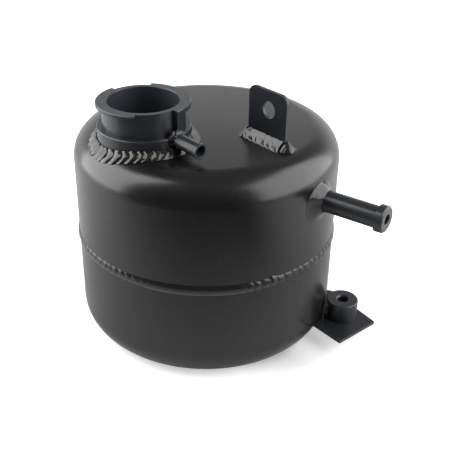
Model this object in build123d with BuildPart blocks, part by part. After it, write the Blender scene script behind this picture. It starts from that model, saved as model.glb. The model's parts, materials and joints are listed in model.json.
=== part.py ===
from build123d import *
import os
from math import asin, cos, degrees, radians, sin, sqrt

os.makedirs("parts", exist_ok=True)

# Coolant expansion tank, millimetres, +Z up.
# The origin is on the tank's axis, in the plane of its flat bottom.
# Angles are plan angles: 0 along +X, counter-clockwise seen from above.

# Tank: two deep-drawn cups that meet at the girth
tank_radius = 80.0
tank_height = 132.0
shell_wall = 2.0
shoulder_radius = 17.0
heel_radius = 18.5
lip_height = 6.0
lip_wall = 1.6
lip_clearance = 0.15
edge_prep = 1.0

# Girth bead
girth_bead_width = 5.6
girth_bead_crown = 1.1

# Filler neck: its axis stands off the tank's axis
neck_angle = 215.0
neck_wall_distance = 37.3
neck_flange_radius = 26.8
cam_overhang = 3.2
neck_wall = 3.2
neck_seat_width = 3.9
neck_register_step = 5.3
neck_register_depth = 5.0
neck_register_clearance = 0.3
neck_collar_height = 9.3
neck_groove_height = 12.1
flange_thickness = 2.3
seat_depth = 20.0
neck_edge_break = 0.4

# Bayonet cam
cam_sector_angle = 126.6
cam_entry_angle = 85.3
cam_ramp_tilt = 1.4
stop_lug_angle = 16.0
stop_lug_drop = 9.6

# Fillet bead round the collar
neck_bead_rise = 4.4
neck_bead_reach = 5.7

# Overflow nipple
nipple_angle = -43.0
nipple_tilt = -3.5
nipple_rise = 7.5
nipple_radius = 4.0
nipple_bore_radius = 2.8
nipple_reach = 18.5
nipple_flare = 0.45
nipple_flare_length = 2.0
nipple_fit_clearance = 0.1
nipple_bead_reach = 2.0
nipple_bead_rise = 2.6

# Top bracket: an upright tab whose outer end stands near the edge of the flat top
tab_end_angle = -41.2
tab_end_margin = 4.5
tab_angle = -47.9
tab_width = 29.7
tab_height = 31.3
tab_thickness = 2.0
tab_corner_radius = 5.0
tab_hole_radius = 4.85
tab_hole_height = 20.1
tab_hole_end_distance = 13.8
tab_bead_leg = 5.6
tab_bead_crown = 0.5
tab_bead_setback = 0.8

# Bleed spigot, high on the side
bleed_angle = -34.5
bleed_drop = 26.3
bleed_radius = 6.3
bleed_bore_radius = 3.0
bleed_reach = 40.4
bleed_bead_crown = 1.5
bleed_bead_land = 4.0
bleed_weld_reach = 7.0
bleed_weld_rise = 4.6

# Outlet spigot, low on the side that faces away
outlet_angle = 102.0
outlet_rise = 11.5
outlet_radius = 9.5
outlet_bore_radius = 7.5
outlet_reach = 38.0
outlet_bead_crown = 1.5
outlet_bead_land = 4.0
outlet_weld_reach = 4.5
outlet_weld_rise = 4.5

# What both hose spigots share
spigot_stub_depth = 4.0
spigot_fit_clearance = 0.15
spigot_mouth_chamfer = 0.5
spigot_face_chamfer = 1.0
spigot_bead_step = 0.5

# Foot: a flat plate with a bored boss
foot_angle = -49.7
foot_width = 32.3
foot_outer_margin = 9.0
foot_side_margin = 1.3
foot_rear_flare = 4.2
foot_rear_corner_setback = 40.8
foot_plate_top = 10.5
foot_plate_thickness = 2.0
foot_corner_radius = 0.8
foot_bead_leg = 3.4
foot_bead_inset = 1.5
boss_angle = -15.5
boss_radius = 9.9
boss_wall_gap = 1.0
boss_height = 12.5
boss_edge_chamfer = 0.5
boss_bore_radius = 3.2
boss_bore_chamfer = 0.8
boss_spigot_radius = 7.0
boss_spigot_proud = 1.0
boss_spigot_clearance = 0.1
boss_bead_leg = 1.8
boss_wall_bead_inner = 3.0
boss_wall_bead_outer = 6.4
boss_front_bead_height = 11.5
boss_rear_bead_height = 4.0

# Derived places
girth_height = tank_height / 2
ledge_height = tank_height + neck_collar_height
flange_underside = ledge_height + neck_groove_height
neck_top = flange_underside + flange_thickness
seat_height = neck_top - seat_depth
register_bottom = tank_height - neck_register_depth
flat_top_radius = tank_radius - shoulder_radius
heel_flat_radius = tank_radius - heel_radius
inner_radius = tank_radius - shell_wall
neck_distance = tank_radius - neck_wall_distance
neck_groove_radius = neck_flange_radius - cam_overhang
neck_bore_radius = neck_groove_radius - neck_wall
neck_throat_radius = neck_bore_radius - neck_seat_width
neck_register_radius = neck_flange_radius - neck_register_step
nipple_height = tank_height + nipple_rise
bleed_height = tank_height - bleed_drop
outlet_height = heel_radius + outlet_rise
boss_distance = tank_radius + boss_wall_gap + boss_radius
foot_plate_bottom = foot_plate_top - foot_plate_thickness
boss_bearing = radians(boss_angle - foot_angle)
foot_reach = boss_distance * cos(boss_bearing) + boss_radius + foot_outer_margin
foot_back_side = boss_distance * sin(boss_bearing) + boss_radius + foot_side_margin
foot_front_side = foot_back_side - foot_width
foot_rear_corner_reach = foot_reach - foot_rear_corner_setback


def direction(angle, tilt=0.0):
    """Unit vector at a plan angle, raised by a tilt."""
    level = cos(radians(tilt))
    return Vector(level * cos(radians(angle)), level * sin(radians(angle)), sin(radians(tilt)))


def wall_plane(angle, height):
    """Plane square to a level line from the tank's axis, touching the tank's wall."""
    outward = direction(angle)
    return Plane(origin=outward * tank_radius + Vector(0, 0, height), z_dir=outward)


def ring_sector(inner, outer, start, sweep):
    """Flat sector of a ring, centred on its sketch plane's origin."""
    first = direction(start)
    last = direction(start + sweep)
    with BuildSketch(mode=Mode.PRIVATE) as sector:
        with BuildLine():
            CenterArc((0, 0), outer, start, sweep)
            CenterArc((0, 0), inner, start, sweep)
            Line(first * inner, first * outer)
            Line(last * inner, last * outer)
        make_face()
    return sector.sketch


def round_stub(plane, radius, depth, height):
    """Plain cylinder through a surface, the form that a root bead is trimmed to."""
    with BuildPart() as stub:
        with BuildSketch(plane.offset(-depth)):
            Circle(radius)
        extrude(amount=depth + height)
    return stub.part


# The tank's outer form, which openings, plates and beads are trimmed to
with BuildPart() as tank_form:
    with BuildSketch(Plane.XZ):
        with BuildLine():
            Line((0, 0), (heel_flat_radius, 0))
            RadiusArc((heel_flat_radius, 0), (tank_radius, heel_radius), -heel_radius)
            Line((tank_radius, heel_radius), (tank_radius, tank_height - shoulder_radius))
            RadiusArc(
                (tank_radius, tank_height - shoulder_radius),
                (flat_top_radius, tank_height),
                -shoulder_radius,
            )
            Polyline((flat_top_radius, tank_height), (0, tank_height), (0, 0))
        make_face()
    revolve(axis=Axis.Z)


def root_bead(stub, stub_radius, rise, reach):
    """Fillet bead where a round stub meets the tank, trimmed to both."""
    with BuildPart() as bead:
        add(tank_form.part)
        add(stub)
        seam = bead.edges(Select.NEW)
        barrels = bead.faces().filter_by(GeomType.CYLINDER)
        side = barrels.sort_by(lambda face: abs(face.radius - stub_radius))[0]
        chamfer(seam, rise, reach, reference=side)
        add(tank_form.part, mode=Mode.SUBTRACT)
        add(stub, mode=Mode.SUBTRACT)
    return bead.part


def hose_spigot(angle, height, radius, bore, reach, crown, land):
    """Turned hose spigot, from just inside the wall to its retaining bead."""
    axis_direction = direction(angle)
    start = inner_radius - spigot_stub_depth
    end = tank_radius + reach
    land_end = end - spigot_face_chamfer
    land_start = land_end - land
    land_radius = radius + crown
    with BuildPart() as spigot:
        with BuildSketch(Plane(origin=(0, 0, height), x_dir=axis_direction, z_dir=(0, 0, 1))):
            with BuildLine():
                Polyline(
                    (end, bore + spigot_mouth_chamfer),
                    (end - spigot_mouth_chamfer, bore),
                    (start, bore),
                    (start, radius),
                    (land_start - spigot_bead_step, radius),
                    (land_start, land_radius),
                    (land_end, land_radius),
                    (end, land_radius - spigot_face_chamfer),
                    (end, bore + spigot_mouth_chamfer),
                )
            make_face()
        revolve(axis=Axis((0, 0, height), axis_direction))
    return spigot.part


# Upper shell
neck_centre = direction(neck_angle) * neck_distance
neck_plane = Plane(origin=neck_centre)
with BuildPart() as upper_shell:
    with BuildSketch(Plane.XZ):
        with BuildLine():
            Polyline(
                (tank_radius - edge_prep, girth_height),
                (tank_radius, girth_height + edge_prep),
                (tank_radius, tank_height - shoulder_radius),
            )
            RadiusArc(
                (tank_radius, tank_height - shoulder_radius),
                (flat_top_radius, tank_height),
                -shoulder_radius,
            )
            Polyline(
                (flat_top_radius, tank_height),
                (0, tank_height),
                (0, tank_height - shell_wall),
                (flat_top_radius, tank_height - shell_wall),
            )
            RadiusArc(
                (flat_top_radius, tank_height - shell_wall),
                (inner_radius, tank_height - shoulder_radius),
                shoulder_radius - shell_wall,
            )
            Polyline(
                (inner_radius, tank_height - shoulder_radius),
                (inner_radius, girth_height),
                (tank_radius - edge_prep, girth_height),
            )
        make_face()
    revolve(axis=Axis.Z)
    with BuildSketch(neck_plane.offset(tank_height)):
        Circle(neck_register_radius + neck_register_clearance)
    extrude(amount=-neck_register_depth, mode=Mode.SUBTRACT)
    with BuildSketch(wall_plane(bleed_angle, bleed_height)):
        Circle(bleed_radius + spigot_fit_clearance)
    extrude(amount=-shoulder_radius, mode=Mode.SUBTRACT)

# Lower shell: its joggled lip registers inside the upper shell
lip_outer = inner_radius - lip_clearance
lip_inner = lip_outer - lip_wall
with BuildPart() as lower_shell:
    with BuildSketch(Plane.XZ):
        with BuildLine():
            Line((0, 0), (heel_flat_radius, 0))
            RadiusArc((heel_flat_radius, 0), (tank_radius, heel_radius), -heel_radius)
            Polyline(
                (tank_radius, heel_radius),
                (tank_radius, girth_height - edge_prep),
                (tank_radius - edge_prep, girth_height),
                (lip_outer, girth_height),
                (lip_outer, girth_height + lip_height),
                (lip_inner, girth_height + lip_height),
                (lip_inner, girth_height - lip_height),
                (inner_radius, girth_height - lip_height - lip_wall),
                (inner_radius, heel_radius),
            )
            RadiusArc(
                (inner_radius, heel_radius),
                (heel_flat_radius, shell_wall),
                heel_radius - shell_wall,
            )
            Polyline((heel_flat_radius, shell_wall), (0, shell_wall), (0, 0))
        make_face()
    revolve(axis=Axis.Z)
    with BuildSketch(wall_plane(outlet_angle, outlet_height)):
        Circle(outlet_radius + spigot_fit_clearance)
    extrude(amount=-shoulder_radius, mode=Mode.SUBTRACT)

# Girth bead: fills the edge preparation and stands proud as a low crown
bead_low = girth_height - girth_bead_width / 2
bead_high = girth_height + girth_bead_width / 2
with BuildPart() as girth_weld:
    with BuildSketch(Plane.XZ):
        with BuildLine():
            Polyline(
                (tank_radius, bead_low),
                (tank_radius, girth_height - edge_prep),
                (tank_radius - edge_prep, girth_height),
                (tank_radius, girth_height + edge_prep),
                (tank_radius, bead_high),
            )
            ThreePointArc(
                (tank_radius, bead_high),
                (tank_radius + girth_bead_crown, girth_height),
                (tank_radius, bead_low),
            )
        make_face()
    revolve(axis=Axis.Z)

# Cam sectors of the bayonet flange: each underside is a ramp that drops towards its stop lug
sector_root = (neck_groove_radius + neck_bore_radius) / 2
cam_sectors = []
for turn in (0.0, 180.0):
    entry = cam_entry_angle + turn
    stop = entry - cam_sector_angle
    rising = direction((entry + stop) / 2 + 90)
    ramp_normal = Vector(0, 0, cos(radians(cam_ramp_tilt))) - rising * sin(radians(cam_ramp_tilt))
    ramp = Plane(origin=neck_centre + Vector(0, 0, flange_underside), z_dir=ramp_normal)
    with BuildPart() as cam_sector:
        with BuildSketch(neck_plane.offset(neck_top)):
            add(ring_sector(sector_root, neck_flange_radius, stop, cam_sector_angle))
        extrude(amount=-2 * flange_thickness)
        split(bisect_by=ramp, keep=Keep.TOP)
        top_rims = cam_sector.edges().filter_by(GeomType.CIRCLE).group_by(Axis.Z)[-1]
        chamfer(top_rims.sort_by(SortBy.RADIUS)[-1], neck_edge_break)
        with BuildSketch(neck_plane.offset(flange_underside)):
            add(ring_sector(sector_root, neck_flange_radius, stop, stop_lug_angle))
        extrude(amount=-stop_lug_drop)
    cam_sectors.append(cam_sector.part)

# Overflow nipple: its axis meets the neck's axis
nipple_axis = direction(nipple_angle, nipple_tilt)
nipple_origin = neck_centre + Vector(
    0, 0, nipple_height - neck_flange_radius * sin(radians(nipple_tilt))
)
nipple_plane = Plane(origin=nipple_origin, z_dir=nipple_axis)
nipple_profile_plane = Plane(
    origin=nipple_origin, x_dir=nipple_axis, z_dir=-direction(nipple_angle + 90)
)
nipple_line = Axis(nipple_origin, nipple_axis)
nipple_root = sector_root
nipple_end = neck_flange_radius + nipple_reach

# Filler neck: a turned body whose register drops into the upper shell
with BuildPart() as filler_neck:
    with BuildSketch(Plane(origin=neck_plane.origin, x_dir=(1, 0, 0), z_dir=(0, -1, 0))):
        with BuildLine():
            Polyline(
                (neck_throat_radius, register_bottom),
                (neck_register_radius - neck_edge_break, register_bottom),
                (neck_register_radius, register_bottom + neck_edge_break),
                (neck_register_radius, tank_height),
                (neck_flange_radius, tank_height),
                (neck_flange_radius, ledge_height - neck_edge_break),
                (neck_flange_radius - neck_edge_break, ledge_height),
                (neck_groove_radius, ledge_height),
                (neck_groove_radius, neck_top),
                (neck_bore_radius + neck_edge_break, neck_top),
                (neck_bore_radius, neck_top - neck_edge_break),
                (neck_bore_radius, seat_height),
                (neck_throat_radius, seat_height),
                (neck_throat_radius, register_bottom),
            )
        make_face()
    revolve(axis=Axis(neck_plane.origin, (0, 0, 1)))
    add(cam_sectors)
    with BuildSketch(nipple_plane):
        Circle(nipple_radius + nipple_fit_clearance)
    extrude(amount=nipple_end, mode=Mode.SUBTRACT)

flare_start = nipple_end - nipple_flare_length
with BuildPart() as overflow_nipple:
    with BuildSketch(nipple_profile_plane):
        with BuildLine():
            Polyline(
                (nipple_root, nipple_bore_radius),
                (nipple_root, nipple_radius),
                (flare_start - nipple_flare, nipple_radius),
                (flare_start, nipple_radius + nipple_flare),
                (nipple_end, nipple_radius + nipple_flare),
                (nipple_end, nipple_bore_radius + nipple_flare),
                (flare_start, nipple_bore_radius),
                (nipple_root, nipple_bore_radius),
            )
        make_face()
    revolve(axis=nipple_line)

# Bead round the nipple's root, trimmed to the neck
bead_outer = nipple_radius + nipple_bead_reach
bead_end = neck_flange_radius + nipple_bead_rise
with BuildPart() as overflow_nipple_weld:
    with BuildSketch(nipple_profile_plane):
        with BuildLine():
            Polyline(
                (bead_end, nipple_radius),
                (neck_groove_radius, nipple_radius),
                (neck_groove_radius, bead_outer),
                (neck_flange_radius, bead_outer),
            )
            ThreePointArc(
                (neck_flange_radius, bead_outer),
                (
                    neck_flange_radius + nipple_bead_rise * sin(radians(45)),
                    nipple_radius + nipple_bead_reach * sin(radians(45)),
                ),
                (bead_end, nipple_radius),
            )
        make_face()
    revolve(axis=nipple_line)
    add(filler_neck.part, mode=Mode.SUBTRACT)
    with BuildSketch(neck_plane.offset(tank_height)):
        Circle(neck_groove_radius)
    extrude(amount=neck_top - tank_height, mode=Mode.SUBTRACT)

# Fillet bead round the collar: it follows the flat top and runs down the shoulder
collar_stub = round_stub(
    neck_plane.offset(tank_height), neck_flange_radius, shoulder_radius, neck_collar_height
)
with BuildPart() as filler_neck_weld:
    add(root_bead(collar_stub, neck_flange_radius, neck_bead_rise, neck_bead_reach))
    add(overflow_nipple_weld.part, mode=Mode.SUBTRACT)
    with BuildSketch(nipple_plane):
        Circle(nipple_radius + nipple_fit_clearance)
    extrude(amount=nipple_end, mode=Mode.SUBTRACT)

# Side spigots and their beads
with BuildPart() as bleed_spigot:
    add(
        hose_spigot(
            bleed_angle,
            bleed_height,
            bleed_radius,
            bleed_bore_radius,
            bleed_reach,
            bleed_bead_crown,
            bleed_bead_land,
        )
    )
bleed_stub = round_stub(
    wall_plane(bleed_angle, bleed_height), bleed_radius, shoulder_radius, bleed_reach
)
with BuildPart() as bleed_spigot_weld:
    add(root_bead(bleed_stub, bleed_radius, bleed_weld_rise, bleed_weld_reach))

with BuildPart() as outlet_spigot:
    add(
        hose_spigot(
            outlet_angle,
            outlet_height,
            outlet_radius,
            outlet_bore_radius,
            outlet_reach,
            outlet_bead_crown,
            outlet_bead_land,
        )
    )
outlet_stub = round_stub(
    wall_plane(outlet_angle, outlet_height), outlet_radius, shoulder_radius, outlet_reach
)
with BuildPart() as outlet_spigot_weld:
    add(root_bead(outlet_stub, outlet_radius, outlet_weld_rise, outlet_weld_reach))

# Top bracket: local x runs along the tab, local y up, local z out of its front face
tab_along = direction(tab_angle)
tab_rearward = direction(tab_angle + 90)
tab_outer_end = direction(tab_end_angle) * (flat_top_radius - tab_end_margin)
tab_inner_end = tab_outer_end - tab_along * tab_width
tab_plane = Plane(
    origin=tab_inner_end + Vector(0, 0, tank_height), x_dir=tab_along, z_dir=-tab_rearward
)
with BuildPart() as top_bracket:
    with BuildSketch(tab_plane) as tab_outline:
        with Locations((tab_width / 2, tab_height / 2)):
            Rectangle(tab_width, tab_height)
        fillet(tab_outline.vertices().group_by(Axis.Z)[-1], tab_corner_radius)
        with Locations((tab_width - tab_hole_end_distance, tab_hole_height)):
            Circle(tab_hole_radius, mode=Mode.SUBTRACT)
    extrude(amount=-tab_thickness)

# Tab beads: a crowned fillet along each face, which turns round the tab's end where it was started
tab_section_front = Plane(origin=tab_plane.origin, x_dir=-tab_rearward, z_dir=-tab_along)
tab_section_rear = Plane(
    origin=tab_plane.origin + tab_rearward * tab_thickness + tab_along * tab_width,
    x_dir=tab_rearward,
    z_dir=tab_along,
)
bead_mid = tab_bead_leg / 2 + tab_bead_crown * sin(radians(45))
tab_beads = []
for section_plane in (tab_section_front, tab_section_rear):
    with BuildSketch(section_plane) as tab_bead_section:
        with BuildLine():
            Polyline((0, tab_bead_leg), (0, 0), (tab_bead_leg, 0))
            ThreePointArc((tab_bead_leg, 0), (bead_mid, bead_mid), (0, tab_bead_leg))
        make_face()
    with BuildPart() as tab_bead:
        extrude(tab_bead_section.sketch, amount=tab_bead_setback - tab_width)
        revolve(tab_bead_section.sketch, axis=Axis(section_plane.origin, (0, 0, 1)))
        add(top_bracket.part, mode=Mode.SUBTRACT)
    tab_beads.append(tab_bead.part)
with BuildPart() as top_bracket_front_weld:
    add(tab_beads[0])
    add(tab_beads[1], mode=Mode.SUBTRACT)
with BuildPart() as top_bracket_rear_weld:
    add(tab_beads[1])
    add(top_bracket_front_weld.part, mode=Mode.SUBTRACT)

# Foot plate: its inner edge follows the tank's heel
foot_plane = Plane(
    origin=(0, 0, foot_plate_bottom), x_dir=direction(foot_angle + 90), z_dir=(0, 0, 1)
)
boss_centre = direction(boss_angle) * boss_distance
boss_plane = Plane(origin=boss_centre)
foot_inner_edge = -sqrt(inner_radius**2 - foot_back_side**2)
with BuildPart() as foot_plate:
    with BuildSketch(foot_plane) as foot_outline:
        with BuildLine():
            Polyline(
                (foot_front_side, foot_inner_edge),
                (foot_front_side, -foot_reach),
                (foot_back_side, -foot_reach),
                (foot_back_side + foot_rear_flare, -foot_rear_corner_reach),
                (foot_back_side, foot_inner_edge),
                (foot_front_side, foot_inner_edge),
            )
        make_face()
        outer_corners = foot_outline.vertices().sort_by(Axis((0, 0, 0), direction(foot_angle)))[-2:]
        fillet(outer_corners, foot_corner_radius)
    extrude(amount=foot_plate_thickness)
    add(tank_form.part, mode=Mode.SUBTRACT)
    with BuildSketch(boss_plane.offset(foot_plate_bottom)):
        Circle(boss_spigot_radius + boss_spigot_clearance)
    extrude(amount=foot_plate_thickness, mode=Mode.SUBTRACT)

# Foot boss: stands on the plate beside the wall, its spigot goes down through the plate
boss_top = foot_plate_top + boss_height
boss_bottom = foot_plate_bottom - boss_spigot_proud
with BuildPart() as foot_boss:
    with BuildSketch(Plane(origin=boss_centre, x_dir=(1, 0, 0), z_dir=(0, -1, 0))):
        with BuildLine():
            Polyline(
                (boss_bore_radius, boss_bottom),
                (boss_spigot_radius, boss_bottom),
                (boss_spigot_radius, foot_plate_top),
                (boss_radius, foot_plate_top),
                (boss_radius, boss_top - boss_edge_chamfer),
                (boss_radius - boss_edge_chamfer, boss_top),
                (boss_bore_radius + boss_bore_chamfer, boss_top),
                (boss_bore_radius, boss_top - boss_bore_chamfer),
                (boss_bore_radius, boss_bottom),
            )
        make_face()
    revolve(axis=Axis(boss_centre, (0, 0, 1)))

# Bead round the boss's spigot under the plate
with BuildPart() as foot_boss_weld:
    with BuildSketch(Plane(origin=boss_centre, x_dir=(1, 0, 0), z_dir=(0, -1, 0))):
        with BuildLine():
            Polyline(
                (boss_spigot_radius, foot_plate_bottom),
                (boss_spigot_radius, boss_bottom),
                (boss_spigot_radius + boss_bead_leg, foot_plate_bottom),
                (boss_spigot_radius, foot_plate_bottom),
            )
        make_face()
    revolve(axis=Axis(boss_centre, (0, 0, 1)))
    add(tank_form.part, mode=Mode.SUBTRACT)

# Upright beads between the boss and the tank's wall, one in front of the boss and one behind it
bead_middle = (boss_wall_bead_inner + boss_wall_bead_outer) / 2
boss_wall_plane = Plane(
    origin=(0, 0, foot_plate_top), x_dir=direction(boss_angle), z_dir=(0, 0, 1)
)
boss_wall_beads = []
for offset, bead_height in (
    (-bead_middle, boss_front_bead_height),
    (bead_middle, boss_rear_bead_height),
):
    with BuildPart() as wall_bead:
        with BuildSketch(boss_wall_plane):
            with Locations((boss_distance - boss_radius / 2, offset)):
                Rectangle(boss_radius, boss_wall_bead_outer - boss_wall_bead_inner)
        extrude(amount=bead_height)
        add(tank_form.part, mode=Mode.SUBTRACT)
        with BuildSketch(boss_plane.offset(foot_plate_top)):
            Circle(boss_radius)
        extrude(amount=boss_height, mode=Mode.SUBTRACT)
        with BuildSketch(Plane(origin=(0, 0, foot_plate_top))):
            Circle(tank_radius + boss_wall_gap + boss_wall_bead_inner)
            Circle(tank_radius / 2, mode=Mode.SUBTRACT)
        extrude(amount=boss_height, mode=Mode.INTERSECT)
    boss_wall_beads.append(wall_bead)

# Bead under the foot plate, along the tank's heel, from one side of the plate to the other
heel_at_plate = heel_flat_radius + sqrt(heel_radius**2 - (heel_radius - foot_plate_bottom) ** 2)
foot_bead_start = foot_angle + degrees(asin(foot_front_side / heel_at_plate)) + foot_bead_inset
foot_bead_end = foot_angle + degrees(asin(foot_back_side / heel_at_plate)) - foot_bead_inset
with BuildPart() as foot_plate_weld:
    with BuildSketch(Plane.XZ):
        with BuildLine():
            Polyline(
                (heel_at_plate - 2 * foot_bead_leg, foot_plate_bottom),
                (heel_at_plate + foot_bead_leg, foot_plate_bottom),
                (heel_at_plate - foot_bead_leg, foot_plate_bottom - foot_bead_leg),
                (heel_at_plate - 2 * foot_bead_leg, foot_plate_bottom),
            )
        make_face()
    revolve(axis=Axis.Z)
    with BuildSketch(Plane(origin=(0, 0, foot_plate_bottom))):
        add(ring_sector(
            heel_flat_radius, foot_reach, foot_bead_start, foot_bead_end - foot_bead_start
        ))
    extrude(amount=-foot_plate_bottom, mode=Mode.INTERSECT)
    add(tank_form.part, mode=Mode.SUBTRACT)
    add(foot_boss_weld.part, mode=Mode.SUBTRACT)

pieces = {
    "upper_shell": upper_shell,
    "lower_shell": lower_shell,
    "girth_weld": girth_weld,
    "filler_neck": filler_neck,
    "filler_neck_weld": filler_neck_weld,
    "overflow_nipple": overflow_nipple,
    "overflow_nipple_weld": overflow_nipple_weld,
    "top_bracket": top_bracket,
    "top_bracket_front_weld": top_bracket_front_weld,
    "top_bracket_rear_weld": top_bracket_rear_weld,
    "bleed_spigot": bleed_spigot,
    "bleed_spigot_weld": bleed_spigot_weld,
    "outlet_spigot": outlet_spigot,
    "outlet_spigot_weld": outlet_spigot_weld,
    "foot_plate": foot_plate,
    "foot_plate_weld": foot_plate_weld,
    "foot_boss": foot_boss,
    "foot_boss_weld": foot_boss_weld,
    "foot_boss_front_weld": boss_wall_beads[0],
    "foot_boss_rear_weld": boss_wall_beads[1],
}
for name, piece in pieces.items():
    piece.part.label = name
    export_step(piece.part, f"parts/{name}.step")
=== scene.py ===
"""Welded coolant expansion tank: its black finishes, its rippled weld beads and a plain studio."""
import json
import math
import random

import bmesh
import bpy
from bpy.props import FloatProperty, FloatVectorProperty, IntProperty, PointerProperty
from bpy.types import Operator, Panel, PropertyGroup
from mathutils import Matrix, Vector, noise
from mathutils.bvhtree import BVHTree


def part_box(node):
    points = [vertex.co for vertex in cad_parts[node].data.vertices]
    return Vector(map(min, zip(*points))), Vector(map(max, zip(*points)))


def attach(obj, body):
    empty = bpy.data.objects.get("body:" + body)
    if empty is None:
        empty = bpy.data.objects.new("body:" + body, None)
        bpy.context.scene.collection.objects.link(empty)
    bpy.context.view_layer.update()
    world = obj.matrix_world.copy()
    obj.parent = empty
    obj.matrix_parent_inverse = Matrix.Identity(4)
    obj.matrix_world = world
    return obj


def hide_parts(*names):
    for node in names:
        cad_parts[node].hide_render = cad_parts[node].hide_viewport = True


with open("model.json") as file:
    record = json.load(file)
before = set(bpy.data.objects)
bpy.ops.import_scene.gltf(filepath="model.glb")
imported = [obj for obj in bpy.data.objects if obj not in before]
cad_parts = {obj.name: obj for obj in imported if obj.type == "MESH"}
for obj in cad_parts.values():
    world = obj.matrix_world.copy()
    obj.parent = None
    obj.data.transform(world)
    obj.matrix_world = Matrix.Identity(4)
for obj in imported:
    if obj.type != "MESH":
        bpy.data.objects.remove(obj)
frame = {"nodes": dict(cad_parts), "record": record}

bl_info = {
    "name": "Coolant expansion tank",
    "version": (1, 0, 0),
    "blender": (4, 5, 0),
    "location": "3D View > Sidebar > Tank",
    "description": "Dresses a welded coolant expansion tank and lights it in a plain studio",
    "category": "Object",
}

MM = 0.001
UP = Vector((0.0, 0.0, 1.0))
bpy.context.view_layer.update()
MOUNTS = {mount["name"]: mount for mount in frame["record"]["mounts"]}


def mount_point(name):
    """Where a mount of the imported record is, in metres."""
    return Vector(MOUNTS[name]["pos_m"])


def mount_axis(name):
    """The unit vector of a mount's axis."""
    return Vector(MOUNTS[name]["axis"]).normalized()


def mount_radius(name):
    """The radius of a bore or pin that a mount states, in metres."""
    return MOUNTS[name]["dims"]["r_mm"] * MM


# The places that the beads and finishes follow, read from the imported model
TANK_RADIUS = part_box("upper_shell")[1].x
TANK_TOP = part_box("upper_shell")[1].z
GIRTH_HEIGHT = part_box("upper_shell")[0].z
NECK_CENTRE = mount_point("cap_neck").to_2d().to_3d()
NECK_RADIUS = (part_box("filler_neck")[1].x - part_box("filler_neck")[0].x) / 2
BOSS_CENTRE = mount_point("foot_bore").to_2d().to_3d()
TAB_NORMAL = mount_axis("bracket_hole")
TAB_ALONG = TAB_NORMAL.cross(UP)
TAB_HOLE = mount_point("bracket_hole")
TAB_THICKNESS = MOUNTS["bracket_hole"]["dims"]["length_mm"] * MM


def hex_channels(code):
    """The three sRGB channels of a hex code, from 0 to 1."""
    return tuple(int(code[i:i + 2], 16) / 255 for i in (1, 3, 5))


def linear_colour(channels):
    """Linear colour with its alpha from three sRGB channels."""
    return [c / 12.92 if c <= 0.04045 else ((c + 0.055) / 1.055) ** 2.4 for c in channels] + [1.0]


# Sizes and colours
class TankBeadSizes(PropertyGroup):
    """Sizes of the weld beads."""

    girth_upper: FloatProperty(
        name="Girth bead upper half", description="How far the girth bead reaches above the seam",
        default=2.8 * MM, min=1 * MM, max=6 * MM, unit="LENGTH")
    girth_lower: FloatProperty(
        name="Girth bead lower half", description="How far the girth bead reaches below the seam",
        default=4.1 * MM, min=1 * MM, max=6 * MM, unit="LENGTH")
    girth_crown: FloatProperty(
        name="Girth bead crown", description="How far the girth bead stands off the wall",
        default=1.05 * MM, min=0.0, max=3 * MM, unit="LENGTH")
    girth_ripples: IntProperty(
        name="Girth ripples", description="Ripples all the way round the girth bead",
        default=100, min=12, max=400)
    neck_rise: FloatProperty(
        name="Neck bead rise", description="How far the neck's bead climbs its collar",
        default=4.2 * MM, min=1 * MM, max=8 * MM, unit="LENGTH")
    neck_reach: FloatProperty(
        name="Neck bead reach", description="How far the neck's bead spreads over the tank",
        default=5.4 * MM, min=1 * MM, max=12 * MM, unit="LENGTH")
    neck_ripples: IntProperty(
        name="Neck ripples", description="Ripples all the way round the neck's bead",
        default=40, min=8, max=120)
    ripple_depth: FloatProperty(
        name="Ripple depth", description="Height of a ripple's back over the valleys beside it",
        default=0.5 * MM, min=0.0, max=2 * MM, unit="LENGTH")


class TankColours(PropertyGroup):
    """Colours of the finishes, as sRGB."""

    pressing_coat: FloatVectorProperty(
        name="Coat on pressings", description="Black coat over the two cups",
        default=hex_channels("#121213"), min=0.0, max=1.0, subtype="COLOR_GAMMA")
    part_coat: FloatVectorProperty(
        name="Coat on parts", description="Thinner coat over sheet and turned parts",
        default=hex_channels("#222529"), min=0.0, max=1.0, subtype="COLOR_GAMMA")
    bead_coat: FloatVectorProperty(
        name="Coat on beads", description="Coat over the weld beads",
        default=hex_channels("#1a1918"), min=0.0, max=1.0, subtype="COLOR_GAMMA")
    # Painted light: the bores' colour is lighter and greyer than the coat, standing in for the light
    # that the shaded bores reflect
    bore_colour_painted_lighter: FloatVectorProperty(
        name="Bores", description="Dulled metal inside the bores",
        default=hex_channels("#262a30"), min=0.0, max=1.0, subtype="COLOR_GAMMA")
    coat_roughness: FloatProperty(
        name="Coat roughness", description="How far the coat blurs what it reflects",
        default=0.26, min=0.0, max=1.0, subtype="FACTOR")


class TankStage(PropertyGroup):
    """Camera and lamps."""

    lens: FloatProperty(
        name="Lens", description="Focal length of the camera in millimetres",
        default=63.81, min=10.0, max=300.0, unit="CAMERA")
    camera_place: FloatVectorProperty(
        name="Camera place", description="Where the camera stands",
        default=(0.011705, -0.443469, 0.317137), unit="LENGTH", subtype="TRANSLATION")
    camera_elevation: FloatProperty(
        name="Camera elevation", description="How far the camera looks down",
        default=math.radians(29.941), unit="ROTATION")
    camera_roll: FloatProperty(
        name="Camera roll", description="How far the camera leans to its left",
        default=math.radians(0.971), unit="ROTATION")
    left_lamp: FloatProperty(
        name="Left lamp", description="Power of the large softbox on the left, in watts",
        default=11.4, min=0.0, unit="POWER")
    right_lamp: FloatProperty(
        name="Right lamp", description="Power of the large softbox on the right, in watts",
        default=20.6, min=0.0, unit="POWER")


# Materials
WHITE = linear_colour(hex_channels("#ffffff"))
PAPER = linear_colour(hex_channels("#ebebeb"))
FLOCK = linear_colour(hex_channels("#0a0a0a"))
BLACK = linear_colour(hex_channels("#000000"))


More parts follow.
